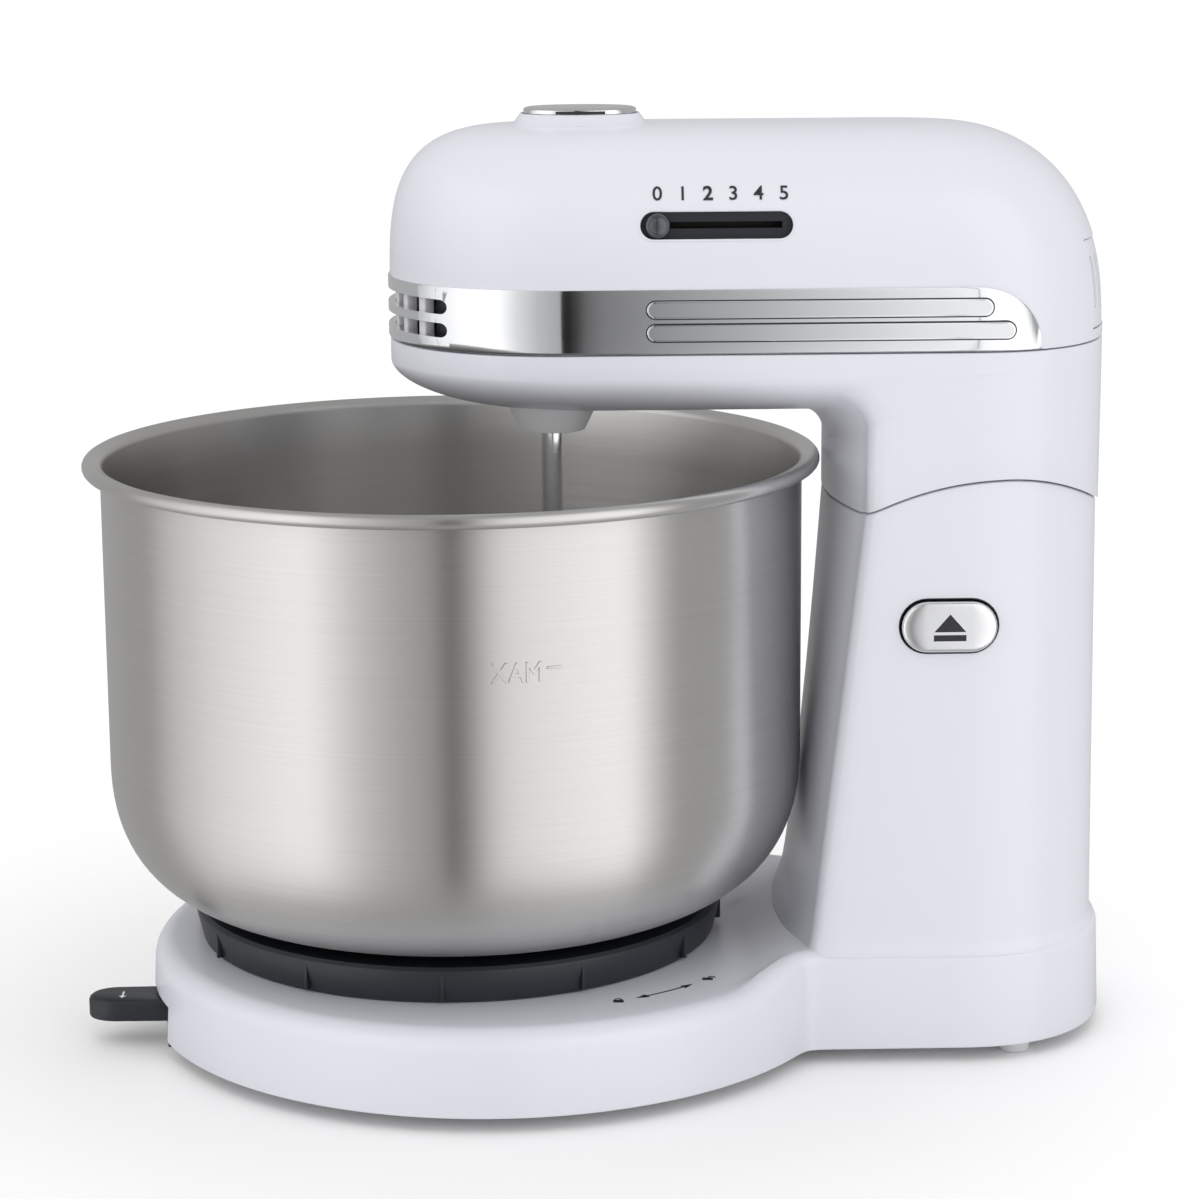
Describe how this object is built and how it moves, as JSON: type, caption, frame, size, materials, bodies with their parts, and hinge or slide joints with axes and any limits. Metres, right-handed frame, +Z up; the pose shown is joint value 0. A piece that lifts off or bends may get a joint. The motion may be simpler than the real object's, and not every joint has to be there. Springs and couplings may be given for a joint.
{
  "type": "stand mixer",
  "caption": "Tilt-head stand mixer with twin wire beaters, a steel bowl on a twist-lock shifting seat, slide speed control and push buttons.",
  "frame": {"origin": "middle of the overall box at the height of the feet's undersides", "axes": "+Z up, +X from the nose to the column at the rear, +Y to the side away from the speed slot"},
  "size_m": [0.309, 0.22, 0.2784],
  "materials": {
    "white_gloss": "gloss white",
    "white_satin": "satin white",
    "chrome": "bright chrome",
    "stainless": "brushed stainless steel",
    "steel": "plain steel",
    "anthracite": "satin anthracite",
    "nylon": "natural nylon",
    "copper": "machined copper",
    "carbon": "pressed carbon",
    "board": "circuit board"
  },
  "bodies": {
    "base": {"base_housing": "white_gloss", "base_bottom_plate": "white_satin", "foot_front_left": "nylon", "foot_front_right": "nylon", "foot_rear_left": "nylon", "foot_rear_right": "nylon", "base_screw_1": "steel", "base_screw_2": "steel", "base_screw_3": "steel", "base_screw_4": "steel", "column_shell": "white_gloss", "release_bezel": "anthracite", "cord_gland": "anthracite", "hinge_cheek_left": "steel", "hinge_cheek_right": "steel", "hinge_pin": "steel", "release_spring": "steel", "shift_pivot_pin": "steel"},
    "carrier": {"bowl_shift_lever": "anthracite", "bowl_seat": "anthracite"},
    "bowl": {"mixing_bowl": "stainless", "bowl_foot_ring": "anthracite"},
    "head": {"head_top_cover": "white_gloss", "head_lower_housing": "white_gloss", "chrome_band": "chrome", "vent_grille": "anthracite", "rear_vent_cover": "white_satin", "speed_plate": "anthracite", "button_pedestal": "white_gloss", "spindle_boss_left": "white_satin", "spindle_boss_right": "white_satin", "motor_stator": "steel", "motor_bracket_front": "steel", "motor_bracket_rear": "steel", "carbon_brush_left": "carbon", "carbon_brush_right": "carbon", "switch_board": "board", "gearbox_tray": "nylon", "gearbox_cover": "nylon", "spring_shelf": "steel", "eject_spring": "steel", "hinge_bracket": "steel"},
    "rotor": {"motor_shaft": "steel", "motor_rotor": "steel", "commutator": "copper", "cooling_fan": "nylon"},
    "left_drive": {"spindle_left": "steel", "worm_wheel_left": "nylon", "beater_left": "chrome"},
    "right_drive": {"spindle_right": "steel", "worm_wheel_right": "nylon", "beater_right": "chrome"},
    "speed_slider": {"speed_knob": "anthracite"},
    "eject": {"eject_button": "chrome", "ejector_plate": "nylon"},
    "release": {"release_button": "chrome", "latch_bar": "steel"}
  },
  "joints": [
    {"name": "head_tilt", "type": "hinge", "parent": "base", "child": "head", "pos_m": [0.1175, 0, 0.125], "axis": [0, 1, 0], "range_deg": [0, 40]},
    {"name": "bowl_shift", "type": "hinge", "parent": "base", "child": "carrier", "pos_m": [0.0425, 0, 0.01], "axis": [0, 0, 1], "range_deg": [-6.4, 3.2]},
    {"name": "bowl_twist", "type": "hinge", "parent": "carrier", "child": "bowl", "pos_m": [-0.0425, 0, 0.03], "axis": [0, 0, 1], "range_deg": [0, 25]},
    {"name": "motor_spin", "type": "hinge", "parent": "head", "child": "rotor", "pos_m": [0.0425, 0, 0.227], "axis": [1, 0, 0], "continuous": true},
    {"name": "left_beater_spin", "type": "hinge", "parent": "head", "child": "left_drive", "pos_m": [-0.0125, 0.02, 0.227], "axis": [0, 0, 1], "continuous": true},
    {"name": "right_beater_spin", "type": "hinge", "parent": "head", "child": "right_drive", "pos_m": [-0.0125, -0.02, 0.227], "axis": [0, 0, 1], "continuous": true},
    {"name": "speed_slide", "type": "slide", "parent": "head", "child": "speed_slider", "axis": [1, 0, 0], "range_m": [0, 0.0334]},
    {"name": "eject_press", "type": "slide", "parent": "head", "child": "eject", "axis": [0, 0, -1], "range_m": [0, 0.004], "stiffness_N_per_m": 500, "springref_m": -0.004, "deforming": ["eject_spring"]},
    {"name": "release_press", "type": "slide", "parent": "base", "child": "release", "axis": [0, 1, 0], "range_m": [0, 0.004], "stiffness_N_per_m": 500, "springref_m": -0.003}
  ],
  "couplings": [
    {"joint": "left_beater_spin", "follows": "motor_spin", "ratio": -0.033333},
    {"joint": "right_beater_spin", "follows": "motor_spin", "ratio": 0.033333}
  ]
}
